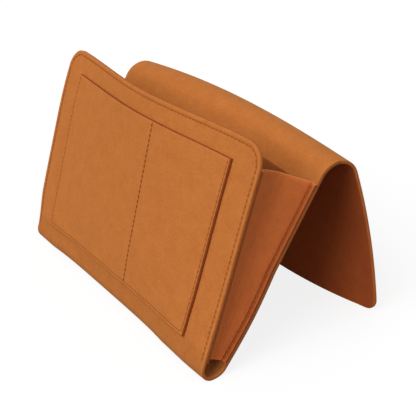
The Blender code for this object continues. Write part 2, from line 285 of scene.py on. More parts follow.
def across(x, half_width):
    """Whole in the middle, and none at the sides."""
    return max(0.0, 1 - (x / half_width) ** 2)


def ease(t):
    """Smooth step from 0 to 1."""
    t = min(1.0, max(0.0, t))
    return t * t * (3 - 2 * t)


def bell(x):
    """Share of the belly at x: whole in the middle, and none at the side seams."""
    return math.cos(min(1.0, abs(x - BELLY_X) / SEAM_X) * math.pi / 2) ** 2


def front_bow(x, height):
    """How far the front bellies out, in its middle and along its left edge."""
    share = height / FRONT_HEIGHT
    left = LEFT_BOW * math.sin(math.pi * min(1.0, share) ** LEFT_BOW_POWER) * ease(-x / SEAM_X)
    return FRONT_BOW * share ** FRONT_BOW_POWER * bell(x) + left


def front_sag(x, height):
    """How far the slack middle of the front hangs down."""
    return FRONT_SAG * max(0.0, height / FRONT_HEIGHT) ** FRONT_SAG_POWER * bell(x)


def fold_wave(x, past=0.0):
    """How the fold swings in and out along its length: past is 1 where that ends."""
    belly = min(1.0, abs(x - FOLD_BELLY_X) / FOLD_BELLY_HALF)
    out = FOLD_BELLY * math.cos(belly * math.pi / 2) ** 2
    share = abs(x - FOLD_HOLLOW_X) / FOLD_HOLLOW_HALF
    hollow = FOLD_HOLLOW * max(0.0, 1 - share ** FOLD_HOLLOW_POWER)
    return Vector((0, (hollow - out) * (1 - ease(past)), 0))


def back_bulge(x, height):
    """How far the right edge of the back bulges to the rear, low down."""
    share = min(1.0, height / BACK_BULGE_REACH)
    return BACK_BULGE * math.sin(math.pi * share) * max(0.0, x / HALF_WIDTH)


def slump(swing, past=0.0):
    """How far the fold stands out to the rear: past is 1 where that ends.

    swing is how far the felt faces to the rear of straight down.
    """
    return Vector((0, FOLD_SLUMP * max(0.0, math.sin(swing)) * (1 - ease(past)), 0))


def waviness(x, length, seed):
    """Slight unevenness of soft felt."""
    place = Vector((x * WAVES_PER_METRE, length * WAVES_PER_METRE, seed))
    return WAVE * noise.noise(place)


def tucked(x, past=0.0):
    """The same place across, drawn in at the left end of the fold. past is 1 where that ends."""
    share = max(0.0, -x / HALF_WIDTH)
    return x + FOLD_TUCK * share ** FOLD_TUCK_POWER * (1 - ease(past))


def front_point(x, height, lift=0.0):
    """Point of the front panel: lift is outwards from the middle of the felt."""
    height = max(0.0, height)
    past = height / FOLD_WAVE_REACH
    wave = waviness(x, height, FRONT_WAVE_SEED) * min(1, past)
    out = FRONT_MID + lift + front_bow(x, height) + wave
    rise = height - front_sag(x, height)
    along = Vector((tucked(x, height / FOLD_TUCK_REACH), 0, 0))
    place = FOLD + along + fold_wave(x, past)
    return place - out * rearward(FRONT_TILT) + rise * direction(FRONT_TILT)


def back_point(x, height, lift=0.0):
    """Point of the back panel: lift is to the rear from the middle of the felt."""
    along = Vector((tucked(x, height / FOLD_TUCK_REACH), 0, 0))
    place = FOLD + along + slump(BACK_SWING, height / FOLD_SLUMP_REACH) + bend_bow(x, height)
    place += fold_wave(x, height / FOLD_WAVE_REACH)
    out = FRONT_MID + lift + back_bulge(x, height)
    return place + out * rearward(BACK_TILT) + height * direction(BACK_TILT)


def bend_bow(x, height):
    """How the top of the back and the bend belly out to the rear."""
    share = ease((height - BEND_BOW_START) / (BACK_LENGTH - BEND_BOW_START))
    share *= across(x, HALF_WIDTH) * (1 + BEND_SKEW * x / HALF_WIDTH)
    return share * BEND_BOW * BEND_BOW_WAY


def flap_middle(length):
    """The flap's middle line at a length down from the bend, and its tilt there."""
    rate = (FLAP_FOOT_TILT - FLAP_TILT) / FLAP_LENGTH
    tilt = FLAP_TILT + rate * length
    y = (math.cos(FLAP_TILT) - math.cos(tilt)) / rate
    z = (math.sin(FLAP_TILT) - math.sin(tilt)) / rate
    return FLAP + Vector((0, y, z)), tilt


def flap_point(x, length, lift=0.0):
    """Point of the flap, at a length down from the bend."""
    middle, tilt = flap_middle(length)
    share = length / FLAP_LENGTH
    foot_half_width = HALF_WIDTH - FLAP_CORNER
    inwards = FLAP_BOW * share * max(0.0, 1 - abs(x / foot_half_width) ** FLAP_BOW_POWER)
    bow = bend_bow(x, BACK_LENGTH) * (1 - ease(share))
    side = Vector((0, math.cos(tilt), math.sin(tilt)))
    wave = waviness(x, length, FLAP_WAVE_SEED) * ease(share * WAVE_ONSET) * across(x, HALF_WIDTH)
    return middle + Vector((x, -inwards, 0)) + bow + (lift + wave) * side


def arc_point(centre, x, angle, radius):
    """Point on an arc in the plane across the bag: the angle starts at the rear and goes up."""
    return Vector((x, centre.y + radius * math.cos(angle), centre.z + radius * math.sin(angle)))


def strip_point(x, length):
    """Middle of the long strip: down the front, round the fold, up the back and over to the flap."""
    if length < FOLD_START:
        return front_point(x, FRONT_HEIGHT - length)
    if length < BACK_START:
        turn = (length - FOLD_START) / FRONT_MID
        place = arc_point(FOLD, tucked(x), math.pi - FRONT_TILT + turn, FRONT_MID)
        return place + slump(turn - FRONT_SWING) + fold_wave(x)
    if length < BEND_START:
        return back_point(x, length - BACK_START)
    if length < FLAP_START:
        turn = (length - BEND_START) / BEND_MID
        centre = BEND + BEND_MID * rearward(BACK_TILT)
        place = arc_point(centre, x, math.pi - BACK_TILT - turn, BEND_MID)
        return place + bend_bow(x, BACK_LENGTH)
    return flap_point(x, length - FLAP_START)


FOLD_START = FRONT_HEIGHT
BACK_START = FOLD_START + FOLD_TURN * FRONT_MID
BEND_START = BACK_START + BACK_LENGTH
FLAP_START = BEND_START + (math.pi - BACK_TILT - FLAP_TILT) * BEND_MID
STRIP_LENGTH = FLAP_START + FLAP_LENGTH
BEND_SPLIT = (BEND_START + FLAP_START) / 2
BACK_SPLIT = BACK_START + SPLIT


def steps(low, high, size):
    """Even steps of about a size from low to high, both included."""
    count = max(1, round((high - low) / size))
    return [low + (high - low) * i / count for i in range(count + 1)]


def refined(places, lines, reach=SEAM_GRID):
    """Places with extra ones round each seam line, and none left too close to those."""
    extra = [line + share * reach for line in lines for share in (-1, -0.5, 0, 0.5, 1)]
    low, high = places[0], places[-1]
    extra = [e for e in extra if low < e < high]
    kept = [p for p in places if p in (low, high) or all(abs(p - e) > reach / 2 for e in extra)]
    return sorted(kept + extra)


def corner_rows(end, radius, way):
    """Rows through a pair of round corners, from the sheet's end inwards: (length, half width)."""
    rows = []
    for depth in refined(steps(0.0, radius, CORNER_GRID), (HEM_INSET,)):
        inner = math.sqrt(radius ** 2 - (radius - depth) ** 2)
        rows.append((end + way * depth, HALF_WIDTH - radius + inner))
    return rows


def seam_distance(x, depth, half_width, radius, end):
    """Distance from a seam that goes up one side, across and down the other, open at depth end."""
    if depth > end:
        return FAR
    side = abs(x) - (half_width - radius)
    fall = radius - depth
    if side > 0 and fall > 0:
        return abs(math.hypot(side, fall) - radius)
    return min(abs(abs(x) - half_width), abs(depth) if abs(x) < half_width else FAR)


def dip(distance, reach):
    """Whole at no distance, and next to none past twice the reach."""
    return math.exp(-(distance / reach) ** 2)


def sheet_normals(middle):
    """Square to a sheet's middle, at each row and column."""
    last_row, last_column = len(middle) - 1, len(middle[0]) - 1

    def normal(i, j):
        along = middle[min(i + 1, last_row)][j] - middle[max(i - 1, 0)][j]
        side = middle[i][min(j + 1, last_column)] - middle[i][max(j - 1, 0)]
        return side.cross(along).normalized()

    return [[normal(i, j) for j in range(last_column + 1)] for i in range(last_row + 1)]


def sheet_rings(rows, columns, middle, thickness, round_ends, pressed, painted_shade):
    """Closed loops of points round a sheet's section, row by row and through its rounded ends.

    Returns the vertices, their places, their painted shade and highlight, and the loops as (vertex
    numbers, is on an end's rim).
    """
    half = thickness / 2
    edge = min(EDGE_ROUND, half * EDGE_ROUND_SHARE)
    last_row, last_column = len(rows) - 1, len(columns) - 1
    normals = sheet_normals(middle)
    vertices, places, shade_and_highlight = [], [], []
    rim_profile = ((edge * RIM_FALL, edge * RIM_FALL), (0.0, -edge))

    def ring(i, along, lift):
        """Loop at row i, moved out past the end by along."""
        length, half_width = rows[i]
        neighbour = 1 if i == 0 else i - 1
        found = []

        def add(j, out, up):
            x = columns[j] * half_width
            inner = 1 if j == 0 else last_column - 1
            way = (middle[i][j] - middle[i][inner]).normalized()
            end_way = (middle[i][j] - middle[neighbour][j]).normalized() * along
            lowered = up - math.copysign(min(abs(up), GROOVE * pressed(x, length)), up)
            from_rim = min(
                length - rows[0][0] if round_ends[0] else FAR,
                rows[-1][0] - length if round_ends[1] else FAR,
                (middle[i][j] - middle[i][0]).length,
                (middle[i][j] - middle[i][last_column]).length,
            )
            found.append(len(vertices))
            vertices.append(middle[i][j] + way * out + normals[i][j] * lowered + end_way)
            # Painted highlight along the rims, less the painted shade in grooves and shaded places
            shade_and_highlight.append(dip(from_rim, RIM_HALF_WIDTH) - painted_shade(x, length))
            along_length = length + (-along if i == 0 else along)
            places.append((x + (out if j == last_column else -out), along_length, up))

        for side in (1, -1):
            order = range(len(columns)) if side > 0 else range(last_column, -1, -1)
            for j in order:
                add(j, -edge if j in (0, last_column) else 0.0, side * lift)
            end = last_column if side > 0 else 0
            for out, drop in rim_profile:
                add(end, out, side * (lift + drop))
            for out, drop in reversed(rim_profile):
                add(end, out, -side * (lift + drop))
        return found

    rings = []
    if round_ends[0]:
        rings.append((ring(0, 0.0, half - edge), True))
        rings.append((ring(0, edge * RIM_FALL, half + edge * RIM_FALL), True))
    rings.append((ring(0, -edge if round_ends[0] else 0.0, half), False))
    rings += [(ring(i, 0.0, half), False) for i in range(1, last_row)]
    rings.append((ring(last_row, -edge if round_ends[1] else 0.0, half), False))
    if round_ends[1]:
        rings.append((ring(last_row, edge * RIM_FALL, half + edge * RIM_FALL), True))
        rings.append((ring(last_row, 0.0, half - edge), True))
    return vertices, places, shade_and_highlight, rings


def sheet_faces(rings, count, lower):
    """Faces between the loops and over the two ends, and which material each has.

    count is the number of columns, and lower the material number of the faces of the sheet's lower side.
    """
    faces, kinds = [], []
    low_start = count + RIM_POINTS
    for (first, first_rim), (second, second_rim) in zip(rings, rings[1:]):
        size = len(first)
        for k in range(size):
            after = (k + 1) % size
            faces.append((first[k], second[k], second[after], first[after]))
            on_side = count - 1 <= k < low_start or k >= low_start + count - 1
            flat = lower if k > count else UPPER
            kinds.append(END_RIM if first_rim or second_rim else SIDE_RIM if on_side else flat)
    for loop, flip in ((rings[0][0], False), (rings[-1][0], True)):
        bottom = list(reversed(loop[low_start: low_start + count]))
        right = loop[count - 1: low_start + 1]
        left = loop[low_start + count - 1:] + loop[:1]
        caps = [(loop[j], loop[j + 1], bottom[j + 1], bottom[j]) for j in range(count - 1)]
        caps += [tuple(right), tuple(left)]
        faces += [tuple(reversed(cap)) for cap in caps] if flip else caps
        kinds += [END_RIM] * len(caps)
    return faces, kinds


def add_piece(name, mesh):
    piece = bpy.data.objects.new(name, mesh)
    bpy.context.scene.collection.objects.link(piece)
    return piece


def new_mesh(name, vertices, faces, places, uv_places=None):
    """Mesh with its normals outwards, and the place that each point's pattern is read at."""
    mesh = bpy.data.meshes.new(name)
    mesh.from_pydata(vertices, [], faces)
    attribute = mesh.attributes.new("felt_place", "FLOAT_VECTOR", "POINT")
    attribute.data.foreach_set("vector", [value for place in places for value in place])
    shape = bmesh.new()
    shape.from_mesh(mesh)
    bmesh.ops.recalc_face_normals(shape, faces=shape.faces)
    if uv_places:
        layer = shape.loops.layers.uv.new("UVMap")
        for face in shape.faces:
            for loop in face.loops:
                x, length, up = uv_places[loop.vert.index]
                loop[layer].uv = (x + up, length + up)
    shape.to_mesh(mesh)
    shape.free()
    return mesh


def thick_sheet(name, rows, columns, surface, thickness, materials,
                round_ends=(True, True), seam=None, dark=1, shade=None, lower=None):
    """Closed sheet of felt with rounded cut edges.

    A row is (length, half width), and a column a share of that half width. materials are those of the
    faces, of the side edges and, where it differs, of the end edges. seam(x, length) is the distance
    from the nearest seam, which presses a groove into both faces, and dark is how much painted shade
    that puts in the groove. shade(x, length) is painted shade elsewhere. Rims get a painted highlight.
    lower is the material of the lower face, where that differs.
    """
    middle = [[surface(share * half_width, length) for share in columns] for length, half_width in rows]

    def pressed(x, length):
        return dip(seam(x, length), GROOVE_HALF_WIDTH) if seam else 0.0

    def painted_shade(x, length):
        return dark * pressed(x, length) + (shade(x, length) if shade else 0.0)

    found = sheet_rings(rows, columns, middle, thickness, round_ends, pressed, painted_shade)
    vertices, places, shade_and_highlight, rings = found
    faces, kinds = sheet_faces(rings, len(columns), LOWER if lower else UPPER)
    mesh = new_mesh(name, vertices, faces, places, places)
    attribute = mesh.attributes.new("painted_shade_and_highlight", "FLOAT", "POINT")
    attribute.data.foreach_set("value", shade_and_highlight)
    for material in (*materials, lower) if lower else materials:
        mesh.materials.append(material)
    for polygon, kind in zip(mesh.polygons, kinds):
        polygon.material_index = len(materials) if kind == LOWER else min(kind, len(materials) - 1)
        polygon.use_smooth = True
    mesh.set_sharp_from_angle(angle=SHARP_ANGLE)
    return add_piece(name, mesh)


def path_lengths(path):
    """Distance from a path's start to each of its points."""
    lengths = [0.0]
    for (a, _), (b, _) in zip(path, path[1:]):
        lengths.append(lengths[-1] + (b - a).length)
    return lengths


def point_along(path, lengths, distance):
    """Point, normal and way along a path of (point, normal), at a distance from its start."""
    distance = min(max(distance, 0.0), lengths[-1])
    k = 0
    while k < len(lengths) - 2 and lengths[k + 1] < distance:
        k += 1
    share = (distance - lengths[k]) / max(TINY, lengths[k + 1] - lengths[k])
    (point, up), (next_point, next_up) = path[k], path[k + 1]
    way = (next_point - point).normalized()
    return point.lerp(next_point, share), up.lerp(next_up, share).normalized(), way


def stitch_row(name, path, material, body, radius=STITCH_RADIUS):
    """Row of stitches along a path of (point, normal), each bent down into its two holes."""
    lengths = path_lengths(path)
    count = max(1, round(lengths[-1] / (STITCH_LENGTH + STITCH_GAP)))
    pitch = lengths[-1] / count
    rng = random.Random(name)
    vertices, faces = [], []
    sides = range(STITCH_SIDES)
    for n in range(count):
        start = n * pitch + STITCH_GAP / 2
        turn = rng.uniform(-STITCH_TURN, STITCH_TURN)
        high = rng.uniform(*STITCH_HEIGHTS)
        rings = []
        for along, lift, wide in STITCH_SHAPE_SHARES:
            point, up, way = point_along(path, lengths, start + along * (pitch - STITCH_GAP))
            side = way.cross(up).normalized()
            centre = point + up * (lift * high * radius) + side * (turn * (along - 0.5) * pitch)
            rings.append(len(vertices))
            for s in sides:
                angle = 2 * math.pi * s / STITCH_SIDES
                offset = side * math.cos(angle) + up * math.sin(angle)
                vertices.append(centre + offset * radius * wide)
        for a, b in zip(rings, rings[1:]):
            for s in sides:
                t = (s + 1) % STITCH_SIDES
                faces.append((a + s, a + t, b + t, b + s))
        faces.append(tuple(rings[0] + s for s in reversed(sides)))
        faces.append(tuple(rings[-1] + s for s in sides))
    mesh = new_mesh(name, vertices, faces, vertices)
    mesh.shade_smooth()
    mesh.materials.append(material)
    piece = add_piece(name, mesh)
    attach(piece, body)
    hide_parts(name)
    return piece


def lay(points, surface, lift):
    """Path of (point, normal) for (x, height) points on a surface, lifted off its middle.

    A lift above zero is to the front, and below zero to the rear.
    """
    path = []
    for x, height in points:
        base = surface(x, height)
        side = surface(x + NORMAL_STEP, height) - surface(x - NORMAL_STEP, height)
        along = surface(x, height + NORMAL_STEP) - surface(x, height - NORMAL_STEP)
        up = side.cross(along).normalized()
        path.append((base + up * lift, up if lift > 0 else -up))
    return path


def fine(points, size=SEAM_STEP):
    """The same path with points close enough together to follow a bowed sheet."""
    found = [points[0]]
    for a, b in zip(points, points[1:]):
        count = max(1, math.ceil(math.dist(a, b) / size))
        for i in range(1, count + 1):
            found.append((a[0] + (b[0] - a[0]) * i / count, a[1] + (b[1] - a[1]) * i / count))
    return found


def round_path(half_width, open_end, closed_end, radius):
    """Path up one side, round a corner, across the closed end and down the other side."""
    way = 1 if closed_end > open_end else -1
    inner = half_width - radius
    square = closed_end - way * radius
    turns = [math.pi / 2 * i / CORNER_STEPS for i in range(CORNER_STEPS + 1)]
    corner = [(radius * math.cos(turn), square + way * radius * math.sin(turn)) for turn in turns]
    path = [(-half_width, open_end)]
    path += [(-inner - out, height) for out, height in corner]
    path += [(inner + out, height) for out, height in reversed(corner)]
    path.append((half_width, open_end))
    return fine(path)


def bag_seam(x, length):
    """Distance from the seams that are sewn through the bag's own felt."""
    up_back = length - BACK_START
    if GUSSET_BOTTOM < up_back < GUSSET_TOP:
        return abs(abs(x) - HALF_WIDTH + REAR_SEAM_INSET)
    hem_end = FRONT_HEIGHT - GUSSET_BOTTOM - HEM_INSET
    return seam_distance(x, length - HEM_INSET, HEM_X, FRONT_CORNER - HEM_INSET, hem_end)


def pocket_seam(x, height):
    """Distance from a pocket's edge seam."""
    above = height - POCKET_BOTTOM - POCKET_SEAM_INSET
    return seam_distance(x, above, POCKET_SEAM_X, POCKET_SEAM_ROUND, FAR)


def bag_shade(x, length):
    """Painted shade on the bag: low on the front, inside the fold, along the left hem's groove and at the
    back's rims.
    """
    if length > BACK_START:
        rim = ease((abs(x) - HALF_WIDTH + RIM_HALF_WIDTH) / RIM_HALF_WIDTH)
        fold = 1 - ease((length - BACK_START) / FOLD_SHADE_REACH)
        return max(BACK_RIM_SHADE * rim, FOLD_SHADE * fold)
    above = FRONT_HEIGHT - length
    low = LOW_SHADE * ease((POCKET_BOTTOM + RIM_HALF_WIDTH - above) / RIM_HALF_WIDTH)
    fold = FOLD_SHADE * ease((-above - FOLD_SHADE_START) / FOLD_SHADE_EASE)
    on_hem = FRONT_CORNER < length < FRONT_HEIGHT - GUSSET_BOTTOM
    hem = dip(x + HEM_X, LEFT_HEM_HALF_WIDTH) if on_hem else 0.0
    return max(low, fold) + hem


def flange_shade(share, _height):
    """Painted shade on the rear flange of a gusset."""
    return FLANGE_SHADE * ease((share - 1) / GUSSET_SOFT)


def outer_pocket_seam(x, height):
    """Distance from the outer pocket's edge seam or its divider."""
    return min(pocket_seam(x, height), abs(x - DIVIDER_X))


def node(tree, kind, **values):
    """New node: a value goes to the input of its name, or else to the setting of that name."""
    made = tree.nodes.new(kind)
    for key, value in values.items():
        if key in made.inputs:
            made.inputs[key].default_value = value
        else:
            setattr(made, key, value)
    return made


def bump_to(tree, height, strength, depth):
    """Gives the surface the relief of a height."""
    bump = node(tree, "ShaderNodeBump")
    bump.inputs["Strength"].default_value = strength
    bump.inputs["Distance"].default_value = depth
    tree.links.new(height, bump.inputs["Height"])
    tree.links.new(bump.outputs["Normal"], tree.nodes["Principled BSDF"].inputs["Normal"])


def colour_ramp(tree, dark, light, share):
    """Colour from dark to light by a share."""
    ramp = node(tree, "ShaderNodeValToRGB")
    ramp.color_ramp.elements[0].color = (*dark, 1)
    ramp.color_ramp.elements[1].color = (*light, 1)
    tree.links.new(share, ramp.inputs["Fac"])
    return ramp


def both(tree, operation, a, b):
    """One value out of two."""
    made = node(tree, "ShaderNodeMath", operation=operation)
    tree.links.new(a, made.inputs[0])
    tree.links.new(b, made.inputs[1])
    return made.outputs[0]


def scaled(tree, source, low, high, to_low, to_high):
    """A value's range from low to high, moved to the range from to_low to to_high."""
    made = node(tree, "ShaderNodeMapRange")
    made.inputs["From Min"].default_value = low
    made.inputs["From Max"].default_value = high
    made.inputs["To Min"].default_value = to_low
    made.inputs["To Max"].default_value = to_high
    tree.links.new(source, made.inputs["Value"])
    return made.outputs["Result"]


def noise_at(tree, place, scale, detail, roughness):
    made = node(tree, "ShaderNodeTexNoise", Scale=scale, Detail=detail, Roughness=roughness)
    tree.links.new(place, made.inputs["Vector"])
    return made.outputs["Fac"]


def hairs(tree, place):
    """Short fibres that lie three ways."""
    strands = []
    for turn, seed in HAIR_TURNS_AND_SEEDS:
        mapping = node(tree, "ShaderNodeMapping")
        mapping.inputs["Rotation"].default_value = (0, 0, turn)
        mapping.inputs["Location"].default_value = (seed, seed, 0)
        mapping.inputs["Scale"].default_value = HAIR_SCALE
        tree.links.new(place, mapping.inputs["Vector"])
        strands.append(noise_at(tree, mapping.outputs["Vector"], 1.0, *HAIR_DETAIL))
    return both(tree, "MAXIMUM", both(tree, "MAXIMUM", strands[0], strands[1]), strands[2])


def felt_material(name, light, dark, fibre=1.0, sheen=FELT_SHEEN):
    """Needle-punched felt: mottled colour, short fibres lying all ways and a soft sheen, with painted
    shade and painted highlight read from the mesh's attribute.
    """
    material = bpy.data.materials.new(name)
    material.use_nodes = True
    tree = material.node_tree
    shader = tree.nodes["Principled BSDF"]
    place = node(tree, "ShaderNodeAttribute", attribute_name="felt_place").outputs["Vector"]
    cloud = noise_at(tree, place, CLOUD_SCALE, *CLOUD_DETAIL)
    grain = noise_at(tree, place, GRAIN_SCALE, *GRAIN_DETAIL)
    fuzz = noise_at(tree, place, FUZZ_SCALE, *FUZZ_DETAIL)
    hair = hairs(tree, place)
    mottle = both(tree, "ADD", scaled(tree, cloud, *CLOUD_TINT), scaled(tree, grain, *GRAIN_TINT))
    colour = colour_ramp(tree, dark, light, both(tree, "ADD", mottle, scaled(tree, hair, *HAIR_TINT)))
    # Painted shade in grooves and shaded places, and painted highlight along rims, scale the colour
    tone = node(tree, "ShaderNodeAttribute", attribute_name="painted_shade_and_highlight").outputs["Fac"]
    groove = scaled(tree, tone, -1.0, 0.0, GROOVE_SHADE, 1.0)
    rim = scaled(tree, tone, 0.0, 1.0, 1.0, RIM_PAINTED_HIGHLIGHT)
    toned = node(tree, "ShaderNodeVectorMath", operation="SCALE")
    tree.links.new(colour.outputs["Color"], toned.inputs[0])
    tree.links.new(both(tree, "MULTIPLY", groove, rim), toned.inputs["Scale"])
    tree.links.new(toned.outputs["Vector"], shader.inputs["Base Color"])
    low, high, flat, proud = HAIR_RELIEF
    grains = both(tree, "ADD", scaled(tree, grain, *GRAIN_RELIEF), scaled(tree, fuzz, *FUZZ_RELIEF))
    height = both(tree, "ADD", scaled(tree, hair, low, high, flat, proud * fibre), grains)
    bump_to(tree, height, FELT_BUMP, FELT_BUMP_DEPTH)
    shader.inputs["Roughness"].default_value = FELT_ROUGHNESS
    shader.inputs["Specular IOR Level"].default_value = FELT_SPECULAR
    shader.inputs["Sheen Weight"].default_value = sheen
    shader.inputs["Sheen Roughness"].default_value = SHEEN_ROUGHNESS
    shader.inputs["Sheen Tint"].default_value = SHEEN_TINT
    return material


def thread_material(name, light, dark):
    material = bpy.data.materials.new(name)
    material.use_nodes = True
    tree = material.node_tree
    shader = tree.nodes["Principled BSDF"]
    place = node(tree, "ShaderNodeAttribute", attribute_name="felt_place").outputs["Vector"]
    ply = noise_at(tree, place, PLY_SCALE, *PLY_DETAIL)
    colour = colour_ramp(tree, dark, light, ply)
    colour.color_ramp.elements[0].position, colour.color_ramp.elements[1].position = PLY_RANGE
    tree.links.new(colour.outputs["Color"], shader.inputs["Base Color"])
    bump_to(tree, ply, THREAD_BUMP, THREAD_BUMP_DEPTH)
    shader.inputs["Roughness"].default_value = THREAD_ROUGHNESS
    shader.inputs["Specular IOR Level"].default_value = THREAD_SPECULAR
    return material


FACE = felt_material("felt_face", (0.615, 0.210, 0.048), (0.462, 0.136, 0.025))
EDGE = felt_material("felt_cut_edge", (0.52, 0.158, 0.038), (0.36, 0.098, 0.021), CUT_FIBRE, 0.0)
# Darker copy of the cut-edge felt: painted shadow on the pockets' and gussets' side edges
SHADED_POCKET_EDGE = felt_material("pocket_cut_edge_painted_shade", (0.34, 0.086, 0.020), (0.20, 0.048, 0.011), CUT_FIBRE, 0.0)
# Lighter copy of the face felt: painted light on the gussets. Their cut top and bottom edges are lighter
# still: a painted highlight
LIT_GUSSET = felt_material("gusset_felt_painted_light", (0.70, 0.190, 0.048), (0.54, 0.125, 0.028))
HIGHLIT_GUSSET_END = felt_material("gusset_cut_edge_painted_highlight", (0.74, 0.270, 0.085), (0.58, 0.190, 0.050), CUT_FIBRE)
# Darker, redder copy of the felt without sheen: painted shade on the flap's inner face
SHADED_FLAP_INNER = felt_material("flap_inner_painted_shade", (0.53, 0.118, 0.030), (0.40, 0.076, 0.0155), sheen=0.0)
# Darker copy of the felt without sheen: painted shade on the inner pocket's face
SHADED_INNER_POCKET = felt_material("inner_pocket_painted_shade", (0.34, 0.092, 0.021), (0.24, 0.058, 0.011), sheen=0.0)
THREAD = thread_material("hem_thread", (0.44, 0.122, 0.024), (0.32, 0.082, 0.015))
POCKET_THREAD = thread_material("pocket_thread", (0.42, 0.118, 0.024), (0.30, 0.078, 0.014))
# Darker than the hem's thread: painted shade of the divider's groove
SHADED_DIVIDER_THREAD = thread_material("divider_thread", (0.33, 0.076, 0.010), (0.22, 0.046, 0.006))


def sheet_columns(half_width, seams):
    """Shares of the half width, close together at the seams and the rims."""
    places = refined(steps(-half_width, half_width, GRID), seams)
    rim = RIM_HALF_WIDTH / half_width
    limit = half_width - RIM_HALF_WIDTH * RIM_CLEARANCE_SHARE
    inner = [x / half_width for x in places if abs(x) < limit]
    return [-1, rim - 1, *inner, 1 - rim, 1]


def full_rows(lengths):
    """Rows as wide as the bag."""
    return [(length, HALF_WIDTH) for length in lengths]


def make_bag(columns):
    """The strip's front, fold and lower back, with its round top corners."""
    rows = corner_rows(0.0, FRONT_CORNER, 1)
    rows += full_rows(steps(FRONT_CORNER, FOLD_START, GRID)[1:])
    rows += full_rows(steps(FOLD_START, BACK_START, ARC_GRID)[1:])
    rows += full_rows(steps(BACK_START, BACK_SPLIT, GRID)[1:])
    bag = thick_sheet("bag_felt", rows, columns, strip_point, FELT, (FACE, EDGE),
                      (True, False), bag_seam, HEM_PAINTED_SHADE, bag_shade)
    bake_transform(bag)
    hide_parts("front_panel", "bottom_fold", "back_panel")
    return bag


def make_hanger(columns):
    """The strip's upper back and the first half of its bend."""
    bend_lengths = steps(BEND_START, BEND_SPLIT, ARC_GRID)[1:]
    rows = full_rows(steps(BACK_SPLIT, BEND_START, GRID))
    rows += full_rows(bend_lengths[:-1] + [BEND_SPLIT - SPLIT_STEP, BEND_SPLIT])
    hanger = thick_sheet("hanger_felt", rows, columns, strip_point, FELT, (FACE, EDGE),
                         (False, False), bag_seam, HEM_PAINTED_SHADE, bag_shade)
    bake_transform(hanger)
    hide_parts("back_panel", "top_bend")
    return hanger


def make_flap(columns):
    """The strip's second half of the bend, and the flap with its round lower corners."""
    bend_lengths = steps(BEND_SPLIT, FLAP_START, ARC_GRID)[1:]
    rows = full_rows([BEND_SPLIT, BEND_SPLIT + SPLIT_STEP] + bend_lengths)
    rows += full_rows(steps(FLAP_START, STRIP_LENGTH - FLAP_CORNER, GRID)[1:])
    rows += list(reversed(corner_rows(STRIP_LENGTH, FLAP_CORNER, -1)))[1:]
    flap = thick_sheet("flap_felt", rows, columns, strip_point, FELT, (FACE, EDGE),
                       (False, True), lower=SHADED_FLAP_INNER)
    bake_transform(flap)
    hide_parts("top_bend", "tuck_flap")
    return flap


def make_strip_pieces():
    """The long strip of felt, in three meshes that meet end to end."""
    columns = sheet_columns(HALF_WIDTH, (-HEM_X, HEM_X))
    bag = make_bag(columns)
    hanger = make_hanger(columns)
    flap = make_flap(columns)


def outer_pocket_point(x, height):
    """Middle of the outer pocket's felt, puffed a little between its seams."""
    side = across(x, POCKET_SEAM_X)
    left = max(0.0, (DIVIDER_X - x) / (DIVIDER_X + POCKET_SEAM_X))
    right = max(0.0, (x - DIVIDER_X) / (POCKET_SEAM_X - DIVIDER_X))
    share = max(left, right)
    puff = 4 * share * (1 - share) if 0 < share < 1 else 0.0
    rise = ease((height - POCKET_BOTTOM) / POCKET_PUFF_RISE)
    return front_point(x, height, FELT + GAP + POCKET_PUFF * puff * rise)


def inner_pocket_point(x, height):
    """Middle of the inner pocket's felt, whose top stands off the back."""
    share = (height - POCKET_BOTTOM) / (INNER_POCKET_TOP - POCKET_BOTTOM)
    gape = INNER_POCKET_GAPE * share ** 2 * across(x, POCKET_SEAM_X)
    return back_point(x, height, -(FELT + GAP) - gape)


def make_pocket(name, top, surface, body, lines, seam):
    """A patch pocket in one mesh, with seams up and down at the given lines."""
    columns = sheet_columns(POCKET_HALF_WIDTH, lines)
    heights = refined(steps(POCKET_BOTTOM, top, GRID), (POCKET_BOTTOM + POCKET_SEAM_INSET,))
    heights = [*heights[:-1], top - RIM_HALF_WIDTH, top]
    rows = [(height, POCKET_HALF_WIDTH) for height in heights]
    # The inner pocket gets the darker copy of the felt: painted shade
    face = FACE if name == "outer_pocket" else SHADED_INNER_POCKET
    piece = thick_sheet(f"{name}_felt", rows, columns, surface, FELT, (face, SHADED_POCKET_EDGE), seam=seam)
    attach(piece, body)
    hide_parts(name)
    return piece


def gusset_point(side, share, height):
    """Middle of a gusset's felt. share runs from 0 at the front flange to 1 at the rear one."""
    lift = -(FELT / 2 + GAP + GUSSET_FELT / 2)
    seam_x = side * SEAM_X
    if share < 0:
        return front_point(seam_x - side * share * FLANGE_WIDTH, height, lift)
    if share > 1:
        return back_point(seam_x + side * (share - 1) * FLANGE_WIDTH, height, lift)
    front = front_point(seam_x, height, lift)
    rear = back_point(seam_x, height, lift)
    top_gap = front_point(seam_x, GUSSET_TOP, lift) - back_point(seam_x, GUSSET_TOP, lift)
    inset = GUSSET_INSET * (front - rear).length / top_gap.length
    reach = GUSSET_CREASE if share < GUSSET_CREASE else 1 - GUSSET_CREASE
    ridge = 1 - abs(share - GUSSET_CREASE) / reach
    depth = inset * (ridge - GUSSET_SOFT * dip(share - GUSSET_CREASE, GUSSET_CREASE_WIDTH))
    place = Vector((share * GUSSET_WRINKLES_ACROSS, height * GUSSET_WRINKLES_UP, side))
    depth += GUSSET_WRINKLE * math.sin(math.pi * share) * noise.noise(place)
    return front.lerp(rear, share) - Vector((side * depth, 0, 0))


